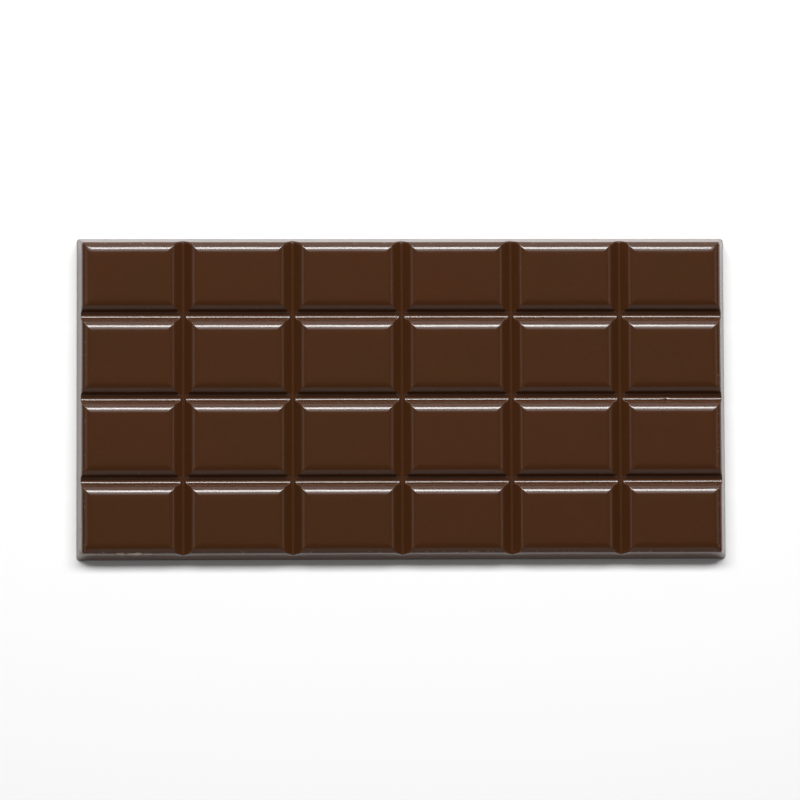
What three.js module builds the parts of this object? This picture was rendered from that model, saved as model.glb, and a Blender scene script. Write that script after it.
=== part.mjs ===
// A moulded chocolate bar: one solid slab with a flat back, drafted side walls
// and a grid of oblong squares parted by grooves for breaking.
//
// Millimetres. The origin is the middle of the flat back, which lies at z = 0.
// +X runs along the bar, +Y across it, and +Z points out of the moulded face.

import * as THREE from 'three';

// ---------------------------------------------------------------- sizes

const COLUMNS = 6;
const ROWS = 4;
const COLUMN_PITCH = 26.0;       // from groove to groove along the bar
const ROW_PITCH = 19.65;         // from groove to groove across the bar
const END_COLUMN = 25.5;         // last groove to the foot of the end wall
const END_ROW = 18.77;           // last groove to the foot of the long wall
const THICKNESS = 7.5;
const ROW_GROOVE_DEPTH = 2.2;
const COLUMN_GROOVE_DEPTH = 2.55;
const CORNER_RADIUS = 0.7;       // corners of the whole bar, seen from above

// Each edge turns down from the flat top through a chain of arcs, given as a
// radius and the slope in degrees at which the arc ends, and then runs straight.
const LEAD = [15, 3.3];
const ROW_GROOVE_ARCS = [LEAD, [4, 36], [1, 61.5]];         // grooves along the bar
const COLUMN_GROOVE_ARCS = [LEAD, [4, 27], [1.6, 48]];      // grooves across it
const LONG_WALL_ARCS = [LEAD, [4, 37], [1.1, 78]];          // twelve degrees of mould draft
const END_WALL_ARCS = [LEAD, [4, 27], [1.7, 77]];
const ROW_GROOVE_FILLET = 1.25;                             // radius at the bottom
const COLUMN_GROOVE_FILLET = 0.5;

// ---------------------------------------------------------------- fineness of the mesh

const ARC_STEP = 8;              // most degrees of slope from one ring to the next
const CLOSEST_RINGS = 0.02;      // least difference in height between two rings
const TURN_STEPS = 3;            // steps round a corner of the bar
const PLACES = 5;                // decimals to which points of the mesh are told apart
const COLLAPSED = 1e-6;          // triangles with less than half this area in plan are left out

const COLOUR = new THREE.Color().setRGB(0.070, 0.024, 0.0075);
const ROUGHNESS = 0.2;

// ---------------------------------------------------------------- sections of the edges

function degrees(angle) {
  return angle * Math.PI / 180;
}

// An edge as the distance t that it has gone outwards at a given drop below the
// flat top, and the drops at which the slope has turned by one step more.
function edgeSection(chain) {
  const arcs = [];
  const drops = [];
  let t = 0;
  let drop = 0;
  let slope = 0;
  for (const [radius, endSlope] of chain) {
    const centre = t - radius * Math.sin(slope);
    const centreDrop = drop + radius * Math.cos(slope);
    const steps = Math.ceil((endSlope - THREE.MathUtils.radToDeg(slope)) / ARC_STEP);
    for (let i = 1; i <= steps; i += 1) {
      drops.push(centreDrop - radius * Math.cos(slope + (degrees(endSlope) - slope) * i / steps));
    }
    slope = degrees(endSlope);
    t = centre + radius * Math.sin(slope);
    drop = centreDrop - radius * Math.cos(slope);
    arcs.push({ radius, centre, centreDrop, endDrop: drop });
  }

  function reachAt(depth) {
    const arc = arcs.find(({ endDrop }) => depth <= endDrop);
    if (arc) {
      return arc.centre + Math.sqrt(arc.radius ** 2 - (arc.centreDrop - depth) ** 2);
    }
    return t + (depth - drop) / Math.tan(slope);
  }

  return { reachAt, drops, slope };
}

// Half of a groove. insetAt is the distance from the middle of the groove, at a
// given drop, to its surface.
function grooveSection(chain, fillet, bottom) {
  const edge = edgeSection(chain);
  const filletTop = bottom - fillet * (1 - Math.cos(edge.slope));
  const reach = edge.reachAt(filletTop) + fillet * Math.sin(edge.slope);
  const steps = Math.ceil(THREE.MathUtils.radToDeg(edge.slope) / (2 * ARC_STEP));
  const filletDrops = Array.from({ length: steps + 1 }, (_, i) => {
    return bottom - fillet * (1 - Math.cos(edge.slope * (1 - i / steps)));
  });

  function insetAt(depth) {
    if (depth >= bottom) {
      return 0;
    }
    if (depth > filletTop) {
      return Math.sqrt(fillet ** 2 - (depth - bottom + fillet) ** 2);
    }
    return reach - edge.reachAt(depth);
  }

  return { insetAt, drops: [...edge.drops, ...filletDrops] };
}

// An outer wall. insetAt is the distance from its foot, at a given drop.
function wallSection(chain) {
  const edge = edgeSection(chain);
  const reach = edge.reachAt(THICKNESS);
  const insetAt = (depth) => reach - edge.reachAt(depth);
  return { insetAt, drops: edge.drops };
}

const rowGroove = grooveSection(ROW_GROOVE_ARCS, ROW_GROOVE_FILLET, ROW_GROOVE_DEPTH);
const columnGroove = grooveSection(COLUMN_GROOVE_ARCS, COLUMN_GROOVE_FILLET, COLUMN_GROOVE_DEPTH);
const longWall = wallSection(LONG_WALL_ARCS);
const endWall = wallSection(END_WALL_ARCS);

// ---------------------------------------------------------------- plan of the bar

const HALF_LENGTH = (COLUMNS - 2) * COLUMN_PITCH / 2 + END_COLUMN;
const HALF_WIDTH = (ROWS - 2) * ROW_PITCH / 2 + END_ROW;

// Outlines of the squares in one direction: foot, grooves and foot.
function edgesOfSquares(count, pitch, half) {
  const grooves = Array.from({ length: count - 1 }, (_, i) => (i - (count - 2) / 2) * pitch);
  return [-half, ...grooves, half];
}

const X_EDGES = edgesOfSquares(COLUMNS, COLUMN_PITCH, HALF_LENGTH);
const Y_EDGES = edgesOfSquares(ROWS, ROW_PITCH, HALF_WIDTH);

// Drops below the flat top at which a ring runs round every square. They are
// the same on all sides, so that the rings turn on the line where two sides meet.
function ringDrops() {
  const drops = [0, ROW_GROOVE_DEPTH, COLUMN_GROOVE_DEPTH, THICKNESS];
  for (const drop of [rowGroove, columnGroove, longWall, endWall].flatMap((section) => section.drops)) {
    const clear = drops.every((other) => Math.abs(other - drop) >= CLOSEST_RINGS);
    if (clear && drop < COLUMN_GROOVE_DEPTH) {
      drops.push(drop);
    }
  }
  return drops.sort((a, b) => a - b);
}

// ---------------------------------------------------------------- mesh of the solid

// The ring round one square at one drop, counter-clockwise from its lower left.
function squareRing(column, row, drop) {
  const walls = {
    west: column === 0,
    east: column === COLUMNS - 1,
    south: row === 0,
    north: row === ROWS - 1,
  };
  const west = X_EDGES[column] + (walls.west ? endWall : columnGroove).insetAt(drop);
  const east = X_EDGES[column + 1] - (walls.east ? endWall : columnGroove).insetAt(drop);
  const south = Y_EDGES[row] + (walls.south ? longWall : rowGroove).insetAt(drop);
  const north = Y_EDGES[row + 1] - (walls.north ? longWall : rowGroove).insetAt(drop);

  const corners = [
    { x: west, y: south, turn: 2, sides: [walls.west, walls.south] },
    { x: east, y: south, turn: 3, sides: [walls.south, walls.east] },
    { x: east, y: north, turn: 0, sides: [walls.east, walls.north] },
    { x: west, y: north, turn: 1, sides: [walls.north, walls.west] },
  ];
  return corners.flatMap(({ x, y, turn, sides }) => {
    const z = THICKNESS - (sides.some(Boolean) ? drop : Math.min(drop, COLUMN_GROOVE_DEPTH));
    if (!sides.every(Boolean)) {
      return [[x, y, z]];
    }
    const radius = drop > 0 ? CORNER_RADIUS : 0;
    const middleX = x - Math.sign(x) * radius;
    const middleY = y - Math.sign(y) * radius;
    return Array.from({ length: TURN_STEPS + 1 }, (_, i) => {
      const angle = (turn + i / TURN_STEPS) * Math.PI / 2;
      return [middleX + radius * Math.cos(angle), middleY + radius * Math.sin(angle), z];
    });
  });
}

function barGeometry() {
  const positions = [];
  const triangles = [];
  const known = new Map();

  // Points that lie in the same place in plan are one vertex.
  function vertex([x, y, z]) {
    const place = `${x.toFixed(PLACES)} ${y.toFixed(PLACES)}`;
    if (!known.has(place)) {
      known.set(place, positions.length / 3);
      positions.push(x, y, z);
    }
    return known.get(place);
  }

  // Adds a triangle that faces up, unless it has collapsed to a line.
  function facingUp(a, b, c) {
    const [ax, ay, bx, by, cx, cy] = [a, b, c].flatMap((v) => [positions[3 * v], positions[3 * v + 1]]);
    if ((bx - ax) * (cy - ay) - (by - ay) * (cx - ax) > COLLAPSED) {
      triangles.push(a, b, c);
    }
  }

  const drops = ringDrops();
  for (let column = 0; column < COLUMNS; column += 1) {
    for (let row = 0; row < ROWS; row += 1) {
      const rings = drops.map((drop) => squareRing(column, row, drop).map(vertex));
      for (let k = 1; k < rings.length; k += 1) {
        const [inner, outer] = [rings[k - 1], rings[k]];
        inner.forEach((here, i) => {
          const next = (i + 1) % inner.length;
          facingUp(outer[i], outer[next], inner[next]);
          facingUp(outer[i], inner[next], here);
        });
      }
      const top = [...new Set(rings[0])];
      facingUp(top[0], top[1], top[2]);
      facingUp(top[0], top[2], top[3]);
    }
  }

  // The back closes the solid as a fan round its middle.
  const foot = [...known.values()].filter((v) => positions[3 * v + 2] === 0);
  const wayRound = (v) => Math.atan2(positions[3 * v + 1], positions[3 * v]);
  foot.sort((a, b) => wayRound(a) - wayRound(b));
  const middle = positions.length / 3;
  positions.push(0, 0, 0);
  foot.forEach((here, i) => {
    triangles.push(middle, foot[(i + 1) % foot.length], here);
  });

  const geometry = new THREE.BufferGeometry();
  geometry.setAttribute('position', new THREE.Float32BufferAttribute(positions, 3));
  geometry.setIndex(triangles);
  geometry.computeVertexNormals();
  return geometry;
}

// ---------------------------------------------------------------- the bar

const chocolate = new THREE.MeshStandardMaterial({
  name: 'chocolate',
  color: COLOUR,
  roughness: ROUGHNESS,
  metalness: 0,
});

const slab = new THREE.Mesh(barGeometry(), chocolate);
slab.name = 'chocolate_slab';

const bar = new THREE.Group();
bar.name = 'chocolate_bar';
bar.add(slab);

export default bar;
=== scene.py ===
"""A moulded chocolate bar on a pale table, seen from above.

The bar is one piece. Its moulded face is a height field: round-edged squares
parted by grooves, with drafted walls round the outside and a flat back that
was poured open. The same sections and sizes make the solid that it replaces;
here they are cut finer, the surface has the slight unevenness of a casting, and
the rims carry the chips, bubbles and rubbed places of a bar that was handled.
"""

import math

import bpy
import numpy as np
from mathutils import Matrix, Vector


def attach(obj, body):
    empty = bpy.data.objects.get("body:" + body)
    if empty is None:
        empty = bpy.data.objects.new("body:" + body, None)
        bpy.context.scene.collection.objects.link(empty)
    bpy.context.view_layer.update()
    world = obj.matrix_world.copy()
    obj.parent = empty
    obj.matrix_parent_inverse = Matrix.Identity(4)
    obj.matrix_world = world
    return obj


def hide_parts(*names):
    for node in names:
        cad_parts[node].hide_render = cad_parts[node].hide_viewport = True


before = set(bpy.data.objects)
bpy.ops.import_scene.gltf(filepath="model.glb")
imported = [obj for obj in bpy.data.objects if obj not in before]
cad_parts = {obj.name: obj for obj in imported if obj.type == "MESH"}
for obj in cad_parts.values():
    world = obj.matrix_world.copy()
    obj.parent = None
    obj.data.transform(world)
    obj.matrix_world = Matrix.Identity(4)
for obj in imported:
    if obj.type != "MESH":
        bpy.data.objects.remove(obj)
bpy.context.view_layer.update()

MM = 0.001
MM_PER_METRE = 1000

# ---------------------------------------------------------------- sizes of the bar, in mm

COLUMNS = 6
ROWS = 4
COLUMN_PITCH = 26.0
ROW_PITCH = 19.65
END_COLUMN = 25.5
END_ROW = 18.77
THICKNESS = 7.5

# Sections of the edges: arcs by radius and by the slope in degrees where each ends.
LEAD = (15.0, 3.3)
ROW_GROOVE_ARCS = (LEAD, (4.0, 36.0), (1.0, 61.5))
ROW_GROOVE_FILLET = 1.25       # grooves along the bar are round at the bottom
ROW_GROOVE_DEPTH = 2.2
COLUMN_GROOVE_ARCS = (LEAD, (4.0, 27.0), (1.6, 48.0))
COLUMN_GROOVE_FILLET = 0.5     # grooves across it are nearly V's, and deeper
COLUMN_GROOVE_DEPTH = 2.55
LONG_WALL_ARCS = (LEAD, (4.0, 37.0), (1.1, 78.0))
END_WALL_ARCS = (LEAD, (4.0, 27.0), (1.7, 77.0))

HIP_RADIUS = 0.15              # where the sides of a square meet, seen from above
CORNER_RADIUS = 0.7            # corners of the whole bar, seen from above
RUNOUT_BLEND = 0.25            # softening of the crease where a groove runs out through a wall
RUNOUT_TOP = 0.8               # depth at which that softening starts
RUNOUT_FULL = 2.0              # and at which it is full

FOOT_RADIUS = 0.25             # the edge between the walls and the back
FOOT_RISE = 0.18               # height of the outline, where the walls end and that edge begins

HALF_LENGTH = (COLUMNS - 2) * COLUMN_PITCH / 2 + END_COLUMN
HALF_WIDTH = (ROWS - 2) * ROW_PITCH / 2 + END_ROW
COLUMN_GROOVES = (np.arange(COLUMNS - 1) - (COLUMNS - 2) / 2) * COLUMN_PITCH
ROW_GROOVES = (np.arange(ROWS - 1) - (ROWS - 2) / 2) * ROW_PITCH

# ---------------------------------------------------------------- marks of casting and use, in mm

FACE_SWELL = 0.008             # rms height of the long waves in the moulded face
FACE_SWELL_LENGTHS = (16, 50)
FACE_SWELL_OFFSET = 1.5        # rms heights by which the swell lies under the flat top
FACE_SWELL_SEED = 5
EDGE_WANDER = 0.009            # rms sideways wander of the rounded edges
EDGE_WANDER_LENGTHS = (7, 30)
EDGE_WANDER_SEED = 3
FOOT_FADE = 1.0                # swell and wander fade out over this distance from the foot

# x, y, radius, depth and, from 0 to 1, how much bare broken chocolate shows. A crumb
# stands up, so its depth is below 0.
HOLLOWS = (
    (62.6, -0.1, 0.28, 0.20, 0.0),         # bubble at the bottom of a groove
    (55.3, 36.75, 0.34, 0.45, 0.0),        # bubble in the far rim
    (76.85, 14.9, 0.30, 1.60, 0.0),        # bubble in the right wall
    (-76.35, -31.85, 0.26, 0.60, 1.0),     # chips in the left rim
    (-76.35, -32.80, 0.24, 0.60, 1.0),
    (-76.2, -36.6, 0.36, 0.70, 0.6),       # knocked corner
    (-75.5, -37.0, 0.26, 0.30, 1.0),
    (-66.1, -37.2, 0.42, 0.60, 1.0),       # nicks in the near rim
    (-64.6, -37.0, 0.24, 0.25, 1.0),
    (-62.8, -37.0, 0.30, 0.25, 1.0),
    (-60.4, -37.0, 0.28, 0.22, 1.0),
    (-62.5, -19.6, 0.22, -0.12, 0.8),      # crumbs in the grooves
    (0.33, 4.3, 0.26, -0.14, 0.8),
    (26.1, -8.4, 0.22, -0.08, 0.5),
    (3.0, -22.4, 0.20, 0.05, 0.3),         # pit in a rolled edge
)
HOLLOW_LOBES = ((3, 0.18), (5, 0.10))      # waves round a hollow's edge, and their height in radii

# Lighter, rougher stretches of the near rim: where each runs along x, how wide it is and how
# strongly it shows.
PALE_RIM_STRETCHES = (
    (-76.0, -59.0, 0.16, 0.40),
    (-75.8, -73.0, 0.22, 0.55),
    (-67.6, -65.2, 0.34, 0.75),
    (-65.0, -61.8, 0.24, 0.95),
    (-61.2, -59.2, 0.20, 0.85),
)
PALE_STRETCH_LINE = -37.05            # y of their middle
PALE_STRETCH_FADE = 0.5               # length over which each ends
GROOVE_RIM_WEAR = 0.12         # most that the rims of the grooves are rubbed, from 0 to 1
WALL_RIM_WEAR = 0.22           # and those of the walls
RIM_WEAR_WIDTH = 0.45

BACK_RIPPLE = 0.03             # rms height of the ripples in the poured back
BACK_RIPPLE_LENGTHS = (7, 20)
BACK_RIPPLE_WAVES = 14
BACK_RIPPLE_OFFSET = 0.6       # rms heights above the table of their mean; what is lower is flat
BACK_RIPPLE_SEED = 13
BACK_INSET = 1.0               # the back is flat this far in from its edge
BACK_MARGIN = 3.0              # and its ripples rise over this distance
BACK_BUBBLES = 11
BACK_BUBBLE_RADII = (0.35, 0.9)
BACK_BUBBLE_DEPTH = 0.5        # in radii
BACK_BUBBLE_SEED = 11


# ---------------------------------------------------------------- section of an edge

LOOKUP_POINTS = 4001           # points on a section among which a depth is looked up


class EdgeSection:
    """A flat top that turns down through a chain of arcs and goes on as a slope.

    Each arc is a radius in mm and the slope in degrees where it ends. t runs
    outwards from the edge of the flat top.
    """

    def __init__(self, arcs):
        self.radii = np.array([radius for radius, _ in arcs])
        slopes = np.radians([0] + [slope for _, slope in arcs])
        self.slope = slopes[-1]
        widths = self.radii * np.diff(np.sin(slopes))
        drops = -self.radii * np.diff(np.cos(slopes))
        self.ends = np.concatenate([[0], np.cumsum(widths)])
        self.centres = self.ends[:-1] - self.radii * np.sin(slopes[:-1])
        start_drops = np.concatenate([[0], np.cumsum(drops)])[:-1]
        self.centre_drops = start_drops + self.radii * np.cos(slopes[:-1])
        self.slopes = slopes
        self.end = self.ends[-1]
        self.end_drop = drops.sum()

    def drop(self, t):
        depth = np.where(t <= 0, 0.0, self.end_drop + (t - self.end) * math.tan(self.slope))
        for radius, start, end, centre, centre_drop in zip(
                self.radii, self.ends[:-1], self.ends[1:], self.centres, self.centre_drops):
            from_centre = np.clip(t, start, end) - centre
            arc_drop = centre_drop - np.sqrt(radius ** 2 - from_centre ** 2)
            depth = np.where((t > start) & (t <= end), arc_drop, depth)
        return depth

    def from_foot(self, depth):
        """Distance from the far end of the section at which it has dropped to a depth."""
        t = np.linspace(0, self.reach, LOOKUP_POINTS)
        return self.reach - np.interp(depth, self.drop(t), t)


class GrooveSection(EdgeSection):
    """Half of a groove: an edge, a straight flank and a fillet at the bottom."""

    def __init__(self, arcs, fillet, depth):
        super().__init__(arcs)
        self.fillet = fillet
        self.depth = depth
        self.fillet_reach = fillet * math.sin(self.slope)
        flank_drop = depth - fillet * (1 - math.cos(self.slope)) - self.end_drop
        self.reach = self.end + flank_drop / math.tan(self.slope) + self.fillet_reach

    def drop(self, t):
        from_centre = np.maximum(self.reach - t, 0)
        in_fillet = np.minimum(from_centre, self.fillet_reach)
        bottom = self.depth - self.fillet + np.sqrt(self.fillet ** 2 - in_fillet ** 2)
        return np.where(from_centre < self.fillet_reach, bottom, super().drop(t))

    def levels(self, arc_step, flank_steps, fillet_steps):
        """Depths of mesh lines: one every arc_step degrees round the arcs, then to the bottom."""
        t = [0.0]
        arcs = zip(self.radii, self.centres, self.slopes[:-1], self.slopes[1:])
        for radius, centre, first, last in arcs:
            count = math.ceil(math.degrees(last - first) / arc_step)
            arc_slopes = np.linspace(first, last, count + 1)[1:]
            t += [centre + radius * math.sin(slope) for slope in arc_slopes]
        t += list(np.linspace(self.end, self.reach - self.fillet_reach, flank_steps + 1)[1:])
        fillet_slopes = np.linspace(self.slope, 0, fillet_steps + 1)[1:]
        t += [self.reach - self.fillet * math.sin(slope) for slope in fillet_slopes]
        return self.drop(np.array(t))


class WallSection(EdgeSection):
    """An edge that goes on as a drafted wall down to the table."""

    def __init__(self, arcs):
        super().__init__(arcs)
        self.reach = self.end + (THICKNESS - self.end_drop) / math.tan(self.slope)


ROW_GROOVE = GrooveSection(ROW_GROOVE_ARCS, ROW_GROOVE_FILLET, ROW_GROOVE_DEPTH)
COLUMN_GROOVE = GrooveSection(COLUMN_GROOVE_ARCS, COLUMN_GROOVE_FILLET, COLUMN_GROOVE_DEPTH)
LONG_WALL = WallSection(LONG_WALL_ARCS)
END_WALL = WallSection(END_WALL_ARCS)


# ---------------------------------------------------------------- shapes of the marks

def waves(x, y, lengths, seed, count=9):
    """A random swell of rms height 1, made of plane waves."""
    random = np.random.default_rng(seed)
    total = np.zeros_like(x)
    for _ in range(count):
        heading = random.uniform(0, math.pi)
        length = random.uniform(*lengths)
        phase = random.uniform(0, 2 * math.pi)
        along = x * math.cos(heading) + y * math.sin(heading)
        total += np.sin(2 * math.pi * along / length + phase)
    return total / math.sqrt(count / 2)


def hollow(x, y, centre_x, centre_y, radius):
    """1 in the middle of an irregular round hollow, 0 from its edge on."""
    angle = np.arctan2(y - centre_y, x - centre_x)
    (broad, broad_height), (fine, fine_height) = HOLLOW_LOBES
    edge = radius * (1 + broad_height * np.sin(broad * angle + centre_x)
                     + fine_height * np.sin(fine * angle + centre_y))
    return np.clip(1 - ((x - centre_x) ** 2 + (y - centre_y) ** 2) / edge ** 2, 0, 1)


# ---------------------------------------------------------------- height of the moulded face

LEAST_WIDTH = 1e-9             # stands in for a softening of no width, which would divide by 0


def rounding(a, b, radius):
    """What rounds the greater of two values with a circle where they are nearly equal."""
    apart = np.minimum(np.abs(a - b), radius)
    rounded = radius + (a + b - np.sqrt(2 * radius ** 2 - apart ** 2)) / 2
    return np.where(apart < radius, rounded - np.maximum(a, b), 0)


def soft_max(a, b, width):
    """The greater of two depths, with the crease between them softened."""
    overlap = np.maximum(0, width - np.abs(a - b))
    return np.maximum(a, b) + overlap ** 2 / (4 * np.maximum(width, LEAST_WIDTH))


def smooth_step(value, low, high):
    s = np.clip((value - low) / (high - low), 0, 1)
    return s * s * (3 - 2 * s)


def nearest_groove(value, grooves):
    return np.min(np.abs(value[..., None] - grooves), axis=-1)


def past_flat_tops(x, y):
    """How far x, y lies past the edge of the flat tops, for each of the four sections."""
    column = COLUMN_GROOVE.reach - nearest_groove(x, COLUMN_GROOVES)
    row = ROW_GROOVE.reach - nearest_groove(y, ROW_GROOVES)
    groove_corner = rounding(column, row, HIP_RADIUS)

    past_end = np.abs(x) - HALF_LENGTH
    past_long = np.abs(y) - HALF_WIDTH
    wall_corner = rounding(past_end, past_long, CORNER_RADIUS)
    end = END_WALL.reach + past_end
    long = LONG_WALL.reach + past_long

    groove = np.maximum(column, row) + groove_corner
    wall = np.maximum(end, long) + wall_corner
    run_out = rounding(groove, wall, HIP_RADIUS)
    groove_corner = groove_corner + run_out
    wall_corner = wall_corner + run_out
    return column + groove_corner, row + groove_corner, end + wall_corner, long + wall_corner


def face_height(x, y):
    column, row, end, long = past_flat_tops(x, y)
    from_foot = np.minimum(END_WALL.reach - end, LONG_WALL.reach - long)
    above_foot = smooth_step(from_foot, 0, FOOT_FADE)
    wander = EDGE_WANDER * waves(x, y, EDGE_WANDER_LENGTHS, EDGE_WANDER_SEED) * above_foot
    groove_depth = np.maximum(COLUMN_GROOVE.drop(column + wander), ROW_GROOVE.drop(row + wander))
    wall_depth = np.maximum(END_WALL.drop(end + wander), LONG_WALL.drop(long + wander))

    blend = smooth_step(np.minimum(groove_depth, wall_depth), RUNOUT_TOP, RUNOUT_FULL)
    depth = soft_max(groove_depth, wall_depth, RUNOUT_BLEND * blend)
    swell = FACE_SWELL_OFFSET + waves(x, y, FACE_SWELL_LENGTHS, FACE_SWELL_SEED)
    depth += FACE_SWELL * swell * above_foot
    for centre_x, centre_y, radius, hollow_depth, _ in HOLLOWS:
        depth += hollow_depth * hollow(x, y, centre_x, centre_y, radius)
    return np.clip(THICKNESS - depth, FOOT_RISE, THICKNESS)


def face_wear(x, y):
    """How worn the face is, from 0 to 1: rubbed rims, broken places and the lighter, rougher
    stretches of the near rim.
    """
    sections = (COLUMN_GROOVE, ROW_GROOVE, END_WALL, LONG_WALL)
    most_worn = (GROOVE_RIM_WEAR, GROOVE_RIM_WEAR, WALL_RIM_WEAR, WALL_RIM_WEAR)
    wear = np.zeros_like(x)
    for section, past, most in zip(sections, past_flat_tops(x, y), most_worn):
        last_arc = section.ends[-2]
        rim = np.exp(-((past - last_arc) / RIM_WEAR_WIDTH) ** 2)
        wear = np.maximum(wear, most * rim)

    # Lighter, rougher stretches along the near rim, carried in the same attribute as the wear.
    for start, stop, width, bare in PALE_RIM_STRETCHES:
        begun = smooth_step(x, start, start + PALE_STRETCH_FADE)
        along = begun * (1 - smooth_step(x, stop - PALE_STRETCH_FADE, stop))
        wear = np.maximum(wear, bare * along * np.exp(-((y - PALE_STRETCH_LINE) / width) ** 2))
    for centre_x, centre_y, radius, _, bare in HOLLOWS:
        wear = np.maximum(wear, bare * np.sqrt(hollow(x, y, centre_x, centre_y, radius)))
    return wear


# ---------------------------------------------------------------- mesh of the bar

ARC_STEP = 3.4                 # degrees between mesh lines round the rolled edges
FLANK_STEPS = 2                # mesh cells down the flank of a groove
FILLET_STEPS = 5               # and round half of its bottom
WALL_STEPS = 5                 # and down an outer wall, below the grooves
TURN_STEPS = 3                 # and round a corner of a square
SHOULDER = 0.08                # mm from such a turn to the first mesh line beside it
TOP_STEP = 1.4                 # mesh spacing over a flat top, in mm
BACK_STEP = 1.3                # and over the back
FOOT_STEPS = 4                 # rings round the foot edge
HOLLOW_STEPS = (-1.1, -0.6, -0.2, 0.2, 0.6, 1.1)   # mesh lines across a hollow, in its radii
CLEAR = 0.05                   # mesh lines added for a hollow keep this far from the others
LEVEL_CLEAR = 0.025            # and rings of mesh this far from each other in depth
WELD = 5                       # decimals of a mm to which mesh points are told apart
SLIVER = 1e-7                  # faces of less than half this area in plan, in mm2, have collapsed


def across_hollows(lines, hollows):
    """Adds mesh lines across each hollow, given as middle and radius."""
    extra = [middle + radius * step for middle, radius in hollows for step in HOLLOW_STEPS]
    for line in extra:
        if lines[0] < line < lines[-1] and np.min(np.abs(lines - line)) > CLEAR:
            lines = np.append(lines, line)
    return np.sort(lines)


def fill_gaps(lines, step):
    gaps = np.diff(lines)
    fills = [np.linspace(lines[i], lines[i + 1], int(gaps[i] // step) + 2)[1:-1]
             for i in np.nonzero(gaps > step)[0]]
    return np.sort(np.concatenate([lines, *fills]))


def grid_faces(columns, rows, heights, middle_heights):
    """Two triangles a cell, split along the diagonal that lies closer to the true surface."""
    i, j = np.meshgrid(np.arange(columns - 1), np.arange(rows - 1))
    corner = (j * columns + i).ravel()
    a, b, c, d = corner, corner + 1, corner + 1 + columns, corner + columns
    along_ac = np.abs((heights[a] + heights[c]) / 2 - middle_heights)
    along_bd = np.abs((heights[b] + heights[d]) / 2 - middle_heights)
    split_ac = (along_ac <= along_bd)[:, None]
    first = np.where(split_ac, np.stack([a, b, c], 1), np.stack([a, b, d], 1))
    second = np.where(split_ac, np.stack([a, c, d], 1), np.stack([b, c, d], 1))
    return np.concatenate([first, second])


def grid_ring(columns, rows):
    """Vertices round the outside of a grid, counter-clockwise from its first one."""
    return np.concatenate([
        np.arange(columns - 1),
        np.arange(rows - 1) * columns + columns - 1,
        (rows - 1) * columns + np.arange(columns - 1, 0, -1),
        np.arange(rows - 1, 0, -1) * columns,
    ])


def way_round(points):
    """How far each point lies round a ring, in sides: 0 to 4."""
    low, high = points.min(axis=0), points.max(axis=0)
    x, y = ((points - low) / (high - low)).T
    side = np.stack([y, 1 - x, 1 - y, x]).argmin(axis=0)
    return side + np.choose(side, [x, y, 1 - x, 1 - y])


def stitch(outer, inner, outer_at, inner_at):
    """Triangles between two rings of vertices that run the same way round, facing down."""
    triangles = []
    i = j = 0
    while i < len(outer) or j < len(inner):
        next_outer = outer_at[i + 1] if i + 1 < len(outer) else 4
        next_inner = inner_at[j + 1] if j + 1 < len(inner) else 4
        if j == len(inner) or (i < len(outer) and next_outer <= next_inner):
            triangles.append((outer[i], inner[j % len(inner)], outer[(i + 1) % len(outer)]))
            i += 1
        else:
            triangles.append((outer[i % len(outer)], inner[j], inner[(j + 1) % len(inner)]))
            j += 1
    return np.array(triangles)


def ring_levels():
    """Depths of the rings of mesh round a square, down to the bottom of the deeper grooves."""
    row = ROW_GROOVE.levels(ARC_STEP, FLANK_STEPS, FILLET_STEPS)
    column = COLUMN_GROOVE.levels(ARC_STEP, FLANK_STEPS, FILLET_STEPS)
    return np.concatenate([row, column[column > row[-1] + LEVEL_CLEAR]])


RING_LEVELS = ring_levels()


def side_insets(is_wall, groove, wall):
    """Distances of the rings of mesh from one side of a square, from the flat top outwards."""
    if is_wall:
        insets = wall.from_foot(RING_LEVELS)
        return np.concatenate([insets, np.linspace(insets[-1], 0, WALL_STEPS + 1)[1:]])
    return np.concatenate([groove.from_foot(RING_LEVELS), np.zeros(WALL_STEPS)])


def corner_radii(is_outer):
    """Radius of each ring at one corner of a square: none at its top or where grooves meet."""
    radii = np.full(len(RING_LEVELS) + WALL_STEPS, CORNER_RADIUS if is_outer else HIP_RADIUS)
    if not is_outer:
        radii[np.searchsorted(RING_LEVELS, ROW_GROOVE.depth - LEVEL_CLEAR):] = 0
    radii[0] = 0
    return radii


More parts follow.
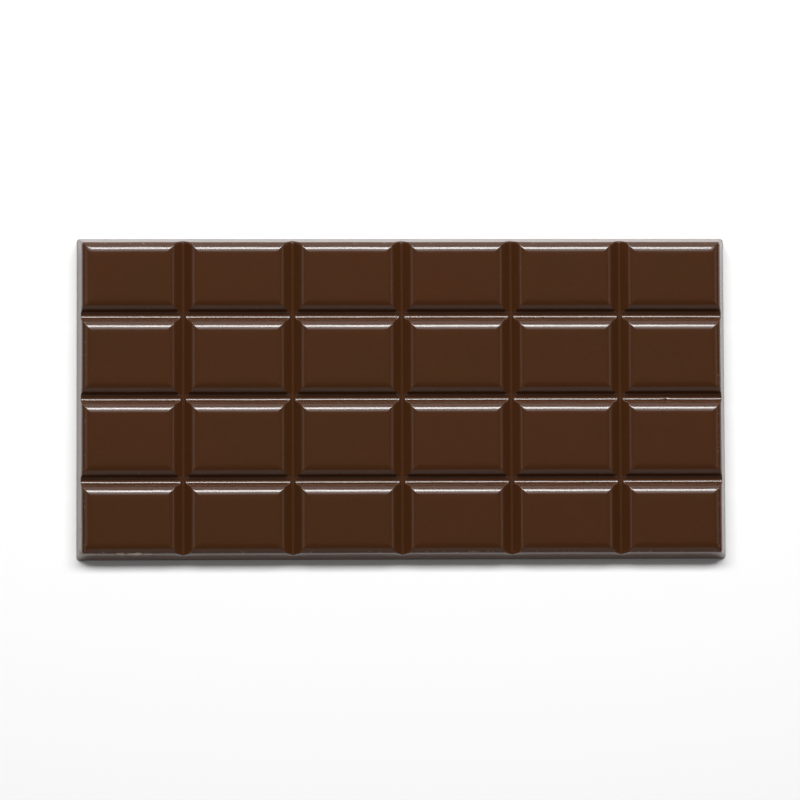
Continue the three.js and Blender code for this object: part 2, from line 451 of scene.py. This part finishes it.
def square_rings(x_lines, y_lines, walls):
    """Points of the rings round one square, as x and y by ring and by place round it.

    x_lines and y_lines cross the whole square. walls tells for west, south, east and
    north whether that side is an outer wall.
    """
    west, south, east, north = walls
    in_west = x_lines[0] + side_insets(west, COLUMN_GROOVE, END_WALL)
    in_east = x_lines[-1] - side_insets(east, COLUMN_GROOVE, END_WALL)
    in_south = y_lines[0] + side_insets(south, ROW_GROOVE, LONG_WALL)
    in_north = y_lines[-1] - side_insets(north, ROW_GROOVE, LONG_WALL)

    # Each side runs counter-clockwise: its lines, then the turn into the next side. Given are
    # its insets and the next side's, its lines, the way out and whether the turn is outer.
    sides = (
        (in_south, in_east, x_lines, (0, -1), south and east),
        (in_east, in_north, y_lines, (1, 0), east and north),
        (in_north, in_west, x_lines[::-1], (0, 1), north and west),
        (in_west, in_south, y_lines[::-1], (-1, 0), west and south),
    )
    radii = [corner_radii(side[4]) for side in sides]
    xs, ys = [], []
    for n, (here, ahead, lines, (out_x, out_y), _) in enumerate(sides):
        behind = sides[n - 1][0]
        radius = radii[n]
        toward = np.sign(lines[-1] - lines[0])
        first = behind + toward * (radii[n - 1] + np.minimum(radii[n - 1], SHOULDER))
        last = ahead - toward * radius
        shoulder = last - toward * np.minimum(radius, SHOULDER)
        low, high = np.minimum(first, shoulder), np.maximum(first, shoulder)
        along = np.clip(lines[None, :], low[:, None], high[:, None])
        across = np.repeat(here[:, None], len(lines), axis=1)
        turn = np.linspace(0, math.pi / 2, TURN_STEPS + 1)[None, :]
        out = out_x + out_y
        turn_along = last[:, None] + toward * radius[:, None] * np.sin(turn)
        turn_across = here[:, None] - out * radius[:, None] * (1 - np.cos(turn))
        along = np.concatenate([along, turn_along], axis=1)
        across = np.concatenate([across, turn_across], axis=1)
        xs.append(across if out_x else along)
        ys.append(along if out_x else across)
    x, y = np.concatenate(xs, axis=1), np.concatenate(ys, axis=1)
    return np.column_stack([x, x[:, 0]]), np.column_stack([y, y[:, 0]])


def square_patches(column, row, x_lines, y_lines):
    """The rings round one square and the grid on its top, as (x, y) grids facing up."""
    walls = (column == 0, row == 0, column == COLUMNS - 1, row == ROWS - 1)
    x, y = square_rings(x_lines, y_lines, walls)
    top_x = np.clip(x_lines, x[0].min(), x[0].max())
    top_y = np.clip(y_lines, y[0].min(), y[0].max())
    return (x[::-1], y[::-1]), tuple(np.meshgrid(top_x, top_y))


def moulded_face():
    x_edges = np.concatenate([[-HALF_LENGTH], COLUMN_GROOVES, [HALF_LENGTH]])
    y_edges = np.concatenate([[-HALF_WIDTH], ROW_GROOVES, [HALF_WIDTH]])
    x_hollows = [(x, radius) for x, _, radius, _, _ in HOLLOWS]
    y_hollows = [(y, radius) for _, y, radius, _, _ in HOLLOWS]
    columns = [across_hollows(fill_gaps(x_edges[i:i + 2], TOP_STEP), x_hollows)
               for i in range(COLUMNS)]
    rows = [across_hollows(fill_gaps(y_edges[j:j + 2], TOP_STEP), y_hollows)
            for j in range(ROWS)]

    points, faces = [], []
    count = 0
    for column, x_lines in enumerate(columns):
        for row, y_lines in enumerate(rows):
            for x, y in square_patches(column, row, x_lines, y_lines):
                middle_x = (x[:-1, :-1] + x[1:, 1:] + x[1:, :-1] + x[:-1, 1:]) / 4
                middle_y = (y[:-1, :-1] + y[1:, 1:] + y[1:, :-1] + y[:-1, 1:]) / 4
                heights = face_height(x.ravel(), y.ravel())
                middles = face_height(middle_x.ravel(), middle_y.ravel())
                faces.append(count + grid_faces(x.shape[1], x.shape[0], heights, middles))
                points.append(np.column_stack([x.ravel(), y.ravel(), heights]))
                count += x.size
    points, faces = weld(np.vstack(points), np.vstack(faces))

    outline = rim_vertices(faces)
    outline = outline[np.argsort(way_round(points[outline, :2]))]
    points[outline, 2] = FOOT_RISE
    wear = face_wear(points[:, 0], points[:, 1])
    return points, faces, wear, outline


def weld(points, faces):
    """Joins points that lie in the same place and drops faces that collapse to a line."""
    places = np.round(points[:, :2], WELD)
    _, first, joined = np.unique(places, axis=0, return_index=True, return_inverse=True)
    points, faces = points[first], joined.ravel()[faces]
    a, b, c = (points[corner, :2] for corner in faces.T)
    ab, ac = b - a, c - a
    faces = faces[ab[:, 0] * ac[:, 1] - ab[:, 1] * ac[:, 0] > SLIVER]
    used, faces = np.unique(faces, return_inverse=True)
    return points[used], faces.reshape(-1, 3)


def rim_vertices(faces):
    """Vertices on the open rim of a mesh."""
    edges = np.concatenate([faces[:, [0, 1]], faces[:, [1, 2]], faces[:, [2, 0]]])
    edges = np.sort(edges, axis=1)
    edges, uses = np.unique(edges, axis=0, return_counts=True)
    return np.unique(edges[uses == 1])


def foot_rings(outline):
    """Rings of points that carry the outline round the foot edge to the back."""
    reach = math.sqrt(FOOT_RADIUS ** 2 - (FOOT_RADIUS - FOOT_RISE) ** 2)
    core = np.array([HALF_LENGTH, HALF_WIDTH]) - CORNER_RADIUS
    out = outline[:, :2] - np.clip(outline[:, :2], -core, core)
    out /= np.linalg.norm(out, axis=1, keepdims=True)
    start = math.asin(reach / FOOT_RADIUS)
    rings = []
    for angle in np.linspace(start, 0, FOOT_STEPS + 1)[1:]:
        inset = reach - FOOT_RADIUS * math.sin(angle)
        height = FOOT_RADIUS * (1 - math.cos(angle))
        heights = np.full(len(outline), height)
        rings.append(np.column_stack([outline[:, :2] - inset * out, heights]))
    return rings


def back_bubbles():
    random = np.random.default_rng(BACK_BUBBLE_SEED)
    reach = np.array([HALF_LENGTH, HALF_WIDTH]) - 2 * BACK_MARGIN
    spots = random.uniform(-reach, reach, (BACK_BUBBLES, 2))
    radii = random.uniform(*BACK_BUBBLE_RADII, BACK_BUBBLES)
    return np.column_stack([spots, radii])


def poured_back():
    """The back as a grid that stops short of the foot edge; heights above the table."""
    bubbles = back_bubbles()
    lines = []
    for axis, half in enumerate((HALF_LENGTH - BACK_INSET, HALF_WIDTH - BACK_INSET)):
        axis_lines = fill_gaps(np.array([-half, half]), BACK_STEP)
        lines.append(across_hollows(axis_lines, bubbles[:, [axis, 2]]))
    x, y = np.meshgrid(*lines)
    from_edge = np.minimum(HALF_LENGTH - np.abs(x), HALF_WIDTH - np.abs(y))
    ripple = waves(x, y, BACK_RIPPLE_LENGTHS, BACK_RIPPLE_SEED, BACK_RIPPLE_WAVES)
    ripple = np.maximum(0, BACK_RIPPLE_OFFSET + ripple)
    z = BACK_RIPPLE * ripple * smooth_step(from_edge, BACK_INSET, BACK_INSET + BACK_MARGIN)
    for centre_x, centre_y, radius in bubbles:
        z += BACK_BUBBLE_DEPTH * radius * np.sqrt(hollow(x, y, centre_x, centre_y, radius))
    points = np.stack([x, y, z], axis=-1).reshape(-1, 3)
    columns, rows = len(lines[0]), len(lines[1])

    # Zeros for the middles of the cells choose the diagonal nearer to the table.
    cells = (columns - 1) * (rows - 1)
    faces = grid_faces(columns, rows, points[:, 2], np.zeros(cells))[:, ::-1]
    return points, faces, grid_ring(columns, rows)


FACE_SLOT = 0
BACK_SLOT = 1


def bar_mesh():
    face_points, face_faces, wear, outline = moulded_face()
    points = [face_points]
    faces = [face_faces]
    count = len(face_points)

    ring = outline
    around = way_round(face_points[outline, :2])
    for ring_points in foot_rings(face_points[outline]):
        inner = count + np.arange(len(ring_points))
        faces.append(stitch(ring, inner, around, around))
        points.append(ring_points)
        count += len(ring_points)
        ring = inner

    back_points, back_faces, back_ring = poured_back()
    inner_at = way_round(back_points[back_ring, :2])
    first_of_back = sum(len(group) for group in faces)
    faces.append(stitch(ring, back_ring + count, around, inner_at))
    faces.append(back_faces + count)
    points.append(back_points)

    points = np.vstack(points)
    faces = np.vstack(faces)
    mesh = bpy.data.meshes.new("chocolate_bar")
    mesh.from_pydata((points * MM).tolist(), [], faces.tolist())
    slots = np.full(len(faces), FACE_SLOT, dtype=np.int32)
    slots[first_of_back:] = BACK_SLOT
    mesh.polygons.foreach_set("material_index", slots)
    wear = np.concatenate([wear, np.zeros(len(points) - len(wear))])
    worn = mesh.attributes.new("wear", "FLOAT", "POINT")
    worn.data.foreach_set("value", wear.astype(np.float32))
    mesh.update()
    mesh.shade_smooth()
    return mesh


# ---------------------------------------------------------------- materials

CHOCOLATE = (0.070, 0.0240, 0.0075)
REDDER_CHOCOLATE = (0.071, 0.0230, 0.0075)
YELLOWER_CHOCOLATE = (0.067, 0.0240, 0.0072)
WORN_CHOCOLATE = (0.36, 0.27, 0.19)
BACK_CHOCOLATE = (0.078, 0.026, 0.008)
CHOCOLATE_IOR = 1.5
FACE_ROUGHNESS = (0.15, 0.19)
WORN_ROUGHNESS = 0.4           # what broken chocolate adds to it
BACK_ROUGHNESS = (0.42, 0.56)
WORN_FROM = 0.30               # wear at which bare chocolate starts to show
WORN_FULL = 0.75               # and at which nothing else does
WORN_RAGGED = 1.1              # how much the fine noise shifts that, so that the marks are ragged
TABLE_COLOUR = (0.9, 0.9, 0.9)

# Stretches of a noise's values, which centre on 0.5, that a ramp spreads out.
NARROW = (0.35, 0.65)
WIDE = (0.3, 0.7)
UPPER = (0.45, 0.75)


# A Mix node has sockets of the same names for each data type; these are the colours'.
MIX_A = 6
MIX_B = 7
MIX_RESULT = 2


class Nodes:
    """Short calls for the nodes of one material."""

    def __init__(self, material):
        material.use_nodes = True
        self.tree = material.node_tree
        self.shader = self.tree.nodes["Principled BSDF"]
        self.place = self.tree.nodes.new("ShaderNodeTexCoord").outputs["Object"]

    def link(self, value, socket):
        if isinstance(value, (int, float)):
            socket.default_value = value
        elif isinstance(value, tuple):
            socket.default_value = (*value, 1)
        else:
            self.tree.links.new(value, socket)

    def noise(self, size_mm, detail=2.0, stretch=(1, 1, 1)):
        """Noise around 0.5 whose features are about size_mm across, longer where stretch is."""
        mapping = self.tree.nodes.new("ShaderNodeMapping")
        mapping.inputs["Scale"].default_value = tuple(1 / s for s in stretch)
        self.tree.links.new(self.place, mapping.inputs["Vector"])
        node = self.tree.nodes.new("ShaderNodeTexNoise")
        node.inputs["Scale"].default_value = MM_PER_METRE / size_mm
        node.inputs["Detail"].default_value = detail
        self.tree.links.new(mapping.outputs["Vector"], node.inputs["Vector"])
        return node.outputs["Fac"]

    def math(self, operation, a, b=0.0, c=0.0):
        node = self.tree.nodes.new("ShaderNodeMath")
        node.operation = operation
        for value, socket in zip((a, b, c), node.inputs):
            self.link(value, socket)
        return node.outputs[0]

    def ramp(self, value, low, high, to_low=0.0, to_high=1.0):
        """Value from low to high becomes to_low to to_high, and no further."""
        node = self.tree.nodes.new("ShaderNodeMapRange")
        node.inputs["From Min"].default_value = low
        node.inputs["From Max"].default_value = high
        node.inputs["To Min"].default_value = to_low
        node.inputs["To Max"].default_value = to_high
        self.link(value, node.inputs["Value"])
        return node.outputs["Result"]

    def mix(self, factor, a, b):
        node = self.tree.nodes.new("ShaderNodeMix")
        node.data_type = "RGBA"
        self.link(factor, node.inputs["Factor"])
        self.link(a, node.inputs[MIX_A])
        self.link(b, node.inputs[MIX_B])
        return node.outputs[MIX_RESULT]

    def bump(self, height, distance_mm, normal=None):
        node = self.tree.nodes.new("ShaderNodeBump")
        node.inputs["Strength"].default_value = 1.0
        node.inputs["Distance"].default_value = distance_mm * MM
        self.link(height, node.inputs["Height"])
        if normal is not None:
            self.link(normal, node.inputs["Normal"])
        return node.outputs["Normal"]

    def attribute(self, name):
        node = self.tree.nodes.new("ShaderNodeAttribute")
        node.attribute_name = name
        return node.outputs["Fac"]


def tinted(colour, factor):
    return tuple(channel * factor for channel in colour)


def chocolate_material():
    material = bpy.data.materials.new("chocolate")
    nodes = Nodes(material)
    shader = nodes.shader
    broad = nodes.noise(size_mm=24, detail=2)
    middle = nodes.noise(size_mm=5, detail=3)
    fine = nodes.noise(size_mm=0.7, detail=4)

    darker = nodes.ramp(middle, *NARROW, to_high=0.4)
    lighter = nodes.ramp(fine, *WIDE, to_high=0.25)
    colour = nodes.mix(nodes.ramp(broad, *NARROW), YELLOWER_CHOCOLATE, REDDER_CHOCOLATE)
    colour = nodes.mix(darker, colour, tinted(CHOCOLATE, 0.88))
    colour = nodes.mix(lighter, colour, tinted(CHOCOLATE, 1.25))

    shift = nodes.math("MULTIPLY_ADD", fine, WORN_RAGGED, -WORN_RAGGED / 2)
    worn = nodes.ramp(nodes.math("ADD", nodes.attribute("wear"), shift), WORN_FROM, WORN_FULL)
    colour = nodes.mix(worn, colour, WORN_CHOCOLATE)
    nodes.link(colour, shader.inputs["Base Color"])

    roughness = nodes.ramp(middle, *WIDE, *FACE_ROUGHNESS)
    roughness = nodes.math("ADD", roughness, nodes.math("MULTIPLY", worn, WORN_ROUGHNESS))
    nodes.link(roughness, shader.inputs["Roughness"])

    normal = nodes.bump(middle, distance_mm=0.012)
    normal = nodes.bump(fine, distance_mm=0.0008, normal=normal)
    broken = nodes.math("MULTIPLY", fine, worn)
    normal = nodes.bump(broken, distance_mm=0.05, normal=normal)
    nodes.link(normal, shader.inputs["Normal"])

    shader.inputs["IOR"].default_value = CHOCOLATE_IOR
    return material


def back_material():
    """The open-poured side: satin, with the drag of the scraper along the bar."""
    material = bpy.data.materials.new("poured_chocolate")
    nodes = Nodes(material)
    shader = nodes.shader
    broad = nodes.noise(size_mm=18, detail=2)
    drag = nodes.noise(size_mm=1.6, detail=3, stretch=(9, 1, 1))
    grain = nodes.noise(size_mm=0.5, detail=4)

    dark, light = tinted(BACK_CHOCOLATE, 0.93), tinted(BACK_CHOCOLATE, 1.08)
    colour = nodes.mix(nodes.ramp(broad, *WIDE), dark, light)
    speckled = nodes.ramp(grain, *UPPER, to_high=0.2)
    colour = nodes.mix(speckled, colour, tinted(BACK_CHOCOLATE, 1.4))
    nodes.link(colour, shader.inputs["Base Color"])
    nodes.link(nodes.ramp(drag, *WIDE, *BACK_ROUGHNESS), shader.inputs["Roughness"])

    normal = nodes.bump(drag, distance_mm=0.02)
    normal = nodes.bump(grain, distance_mm=0.004, normal=normal)
    nodes.link(normal, shader.inputs["Normal"])
    shader.inputs["IOR"].default_value = CHOCOLATE_IOR
    return material


def table_material():
    material = bpy.data.materials.new("pale_table")
    material.use_nodes = True
    shader = material.node_tree.nodes["Principled BSDF"]
    shader.inputs["Base Color"].default_value = (*TABLE_COLOUR, 1)
    shader.inputs["Roughness"].default_value = 1
    shader.inputs["Specular IOR Level"].default_value = 0
    return material


# ---------------------------------------------------------------- scene

def add_bar():
    bar = bpy.data.objects.new("chocolate_bar", bar_mesh())
    bpy.context.scene.collection.objects.link(bar)
    bar.data.materials.append(chocolate_material())
    bar.data.materials.append(back_material())
    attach(bar, "root")
    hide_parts("chocolate_slab")
    return bar


TABLE_SIZE = 6.0               # metres
TABLE_GAP = 0.00005            # metres under the bar, so that the two don't share a plane


def add_table():
    mesh = bpy.data.meshes.new("table_top")
    half = TABLE_SIZE / 2
    corners = [(-half, -half, 0), (half, -half, 0), (half, half, 0), (-half, half, 0)]
    mesh.from_pydata(corners, [], [(0, 1, 2, 3)])
    mesh.materials.append(table_material())
    table = bpy.data.objects.new("table_top", mesh)
    bpy.context.scene.collection.objects.link(table)
    table.location.z = -TABLE_GAP
    return table


LAMP_DISTANCE = 1.0            # metres from the bar to each lamp
WORLD_RADIANCE = 0.035


def add_lamp(name, north, east, height, width, radiance):
    """A soft lamp that faces the bar from north and east of overhead; angles in degrees.

    height is what it spans in the north-south direction and width what it spans across that.
    """
    light = bpy.data.lights.new(name, "AREA")
    light.shape = "RECTANGLE"
    light.size = 2 * LAMP_DISTANCE * math.tan(math.radians(width / 2))
    light.size_y = 2 * LAMP_DISTANCE * math.tan(math.radians(height / 2))
    light.energy = radiance * math.pi * light.size * light.size_y

    a, b = math.radians(north), math.radians(east)
    out = Vector((math.sin(b), math.sin(a) * math.cos(b), math.cos(a) * math.cos(b)))
    across = Vector((math.cos(b), -math.sin(a) * math.sin(b), -math.cos(a) * math.sin(b)))
    along = out.cross(across)
    facing = Matrix((across, along, out)).transposed().to_4x4()
    lamp = bpy.data.objects.new(name, light)
    lamp.matrix_world = Matrix.Translation(out * LAMP_DISTANCE) @ facing
    bpy.context.scene.collection.objects.link(lamp)
    return lamp


def lights_only(lamp, name, *objects):
    receivers = bpy.data.collections.new(name)
    for thing in objects:
        receivers.objects.link(thing)
    lamp.light_linking.receiver_collection = receivers


def add_lights(bar, table):
    on_the_bar = (
        add_lamp("key_lamp", 42.5, 0, 9, 28, 25.0),
        add_lamp("key_glow", 38, 0, 28, 50, 1.6),
        add_lamp("overhead_glow", 32, 0, 28, 60, 0.9),
        add_lamp("north_card", 71, 0, 28, 80, 1.2),
        add_lamp("south_card", -66, 0, 42, 80, 0.42),
        add_lamp("west_card", 0, -50, 60, 20, 0.5),
        add_lamp("east_card", 0, 52, 60, 16, 0.5),
    )
    for lamp in on_the_bar:
        lights_only(lamp, lamp.name + "_on", bar)
    add_lamp("ceiling_card", 0, 0, 20, 60, 0.06)
    table_lamp = add_lamp("table_lamp", 27, 0, 14, 60, 15.0)
    table_fill = add_lamp("table_fill", 0, 0, 60, 60, 0.6)
    for lamp in (table_lamp, table_fill):
        lights_only(lamp, lamp.name + "_on", table)
    world = bpy.data.worlds.new("studio")
    world.use_nodes = True
    background = world.node_tree.nodes["Background"]
    background.inputs["Color"].default_value = (1, 1, 1, 1)
    background.inputs["Strength"].default_value = WORLD_RADIANCE
    bpy.context.scene.world = world


PHOTO_WIDTH = 191.4            # mm of table across the picture
CAMERA_DISTANCE = 950.0        # mm
CAMERA_FROM_SOUTH = 3.6        # degrees off the vertical, towards -Y
CAMERA_FROM_EAST = -2.0        # degrees off the vertical, towards +X
CAMERA_ROLL = 0.100            # degrees, clockwise
VIEW_CENTRE = (-0.30, -0.246)  # mm, the point of the table plane in the middle of the picture
SENSOR = 36.0                  # mm
CLIP_END = 10                  # metres


def camera_matrix():
    """Place and facing of the camera, with the far side of the bar at the top of the picture."""
    east = math.tan(math.radians(CAMERA_FROM_EAST))
    south = math.tan(math.radians(CAMERA_FROM_SOUTH))
    back = Vector((east, -south, 1)).normalized()
    right = Vector((1, 0, 0))
    right = (right - back * right.dot(back)).normalized()
    up = back.cross(right)
    facing = Matrix((right, up, back)).transposed().to_4x4()
    rolled = Matrix.Rotation(math.radians(-CAMERA_ROLL), 4, "Z")
    position = Vector((*VIEW_CENTRE, 0)) * MM + back * CAMERA_DISTANCE * MM
    return Matrix.Translation(position) @ facing @ rolled


def add_camera():
    data = bpy.data.cameras.new("camera")
    data.sensor_width = SENSOR
    data.lens = SENSOR * CAMERA_DISTANCE / PHOTO_WIDTH
    data.clip_end = CLIP_END
    camera = bpy.data.objects.new("camera", data)
    camera.matrix_world = camera_matrix()
    bpy.context.scene.collection.objects.link(camera)
    bpy.context.scene.camera = camera


bpy.context.scene.view_settings.view_transform = "Standard"
bar = add_bar()
table = add_table()
add_lights(bar, table)
add_camera()
